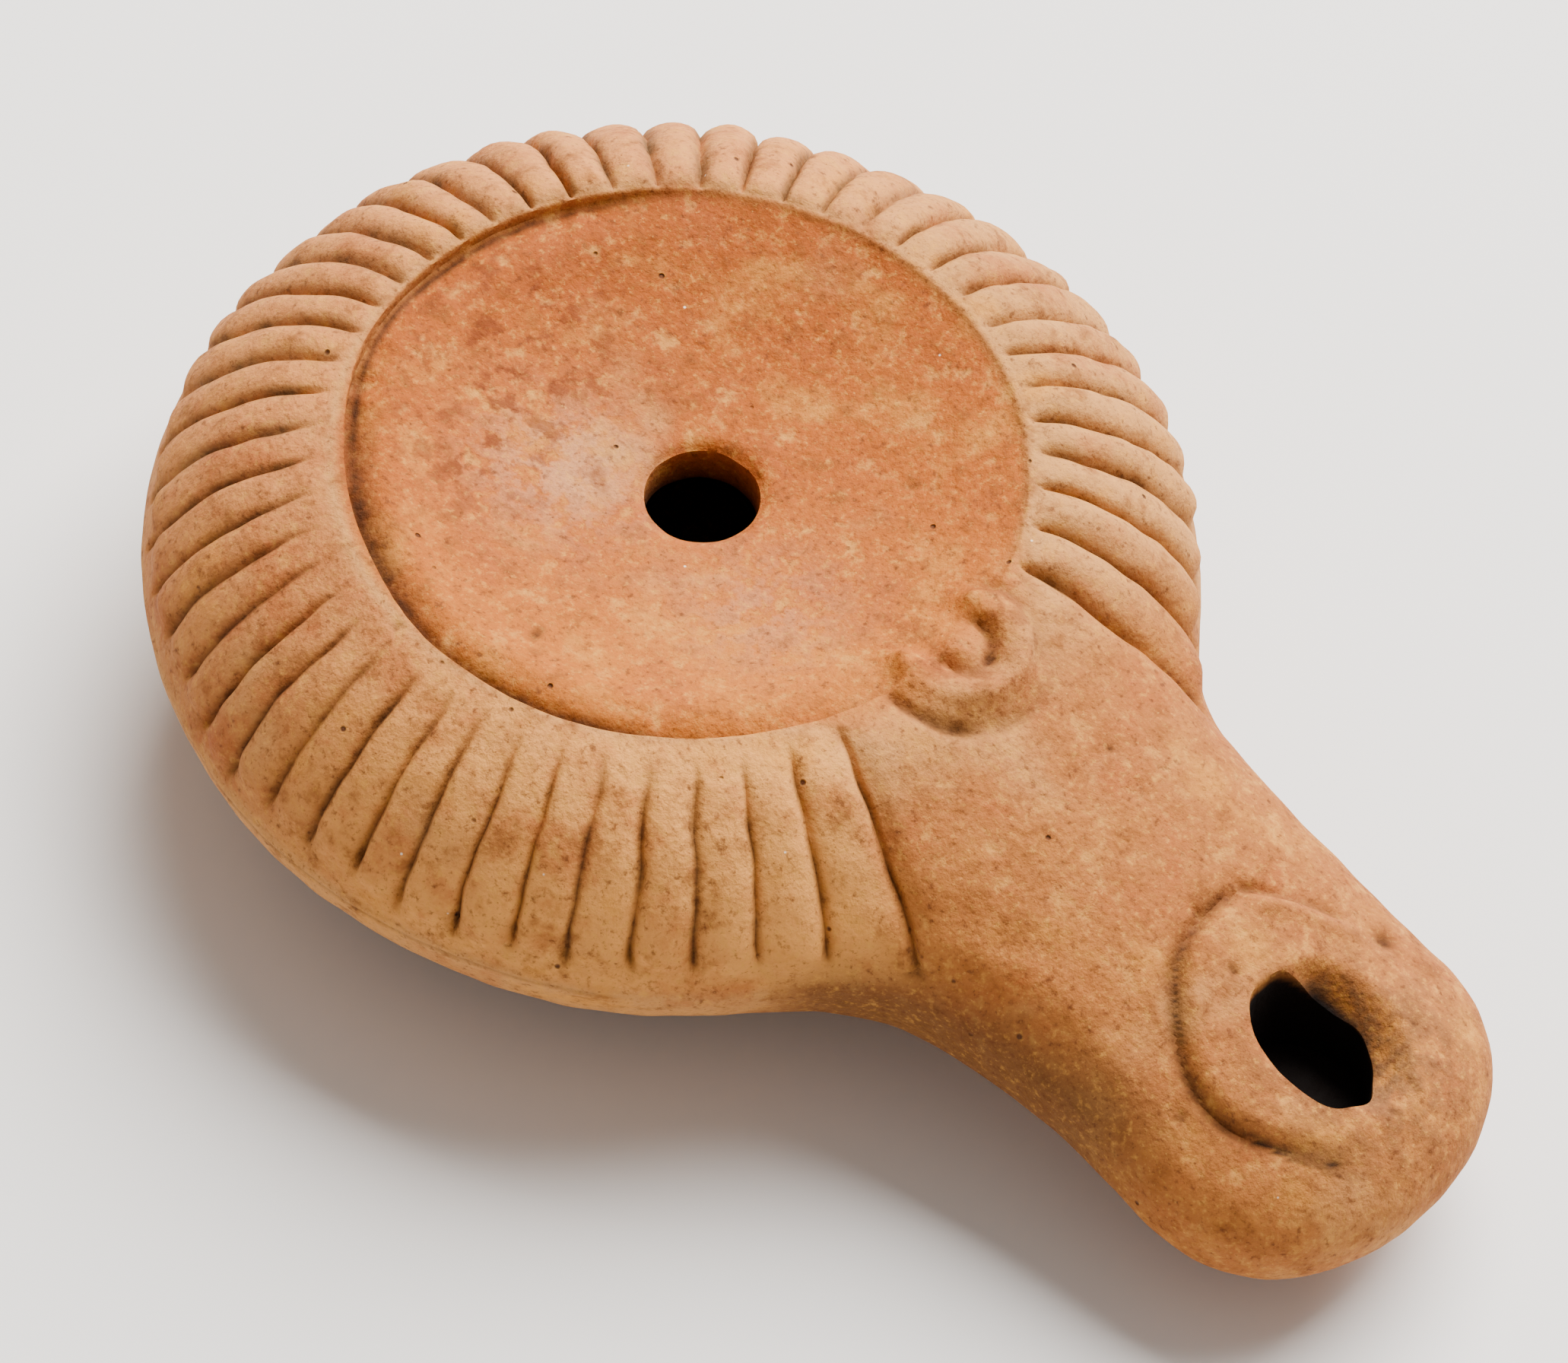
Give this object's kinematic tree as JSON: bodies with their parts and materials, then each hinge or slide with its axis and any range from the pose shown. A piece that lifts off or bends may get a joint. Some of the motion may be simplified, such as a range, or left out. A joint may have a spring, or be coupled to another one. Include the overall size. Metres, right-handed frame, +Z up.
{
  "type": "terracotta oil lamp",
  "caption": "Small round-bodied clay oil lamp with a ribbed shoulder, a dished top with a filling hole, and one sloping nozzle that ends in a wick hole.",
  "frame": {"origin": "centre of the flat base, on the plane that the lamp stands on, on the axis of the round body", "axes": "+Z up, the nozzle points along -Y, +X to the right of someone who looks along +Y"},
  "size_m": [0.075, 0.1083, 0.0288],
  "materials": {
    "terracotta": "unglazed mould-pressed fired clay, matte orange-brown with rust-red and ochre variation, buff towards the nozzle"
  },
  "bodies": {
    "root": {"oil_lamp": "terracotta"}
  },
  "joints": []
}
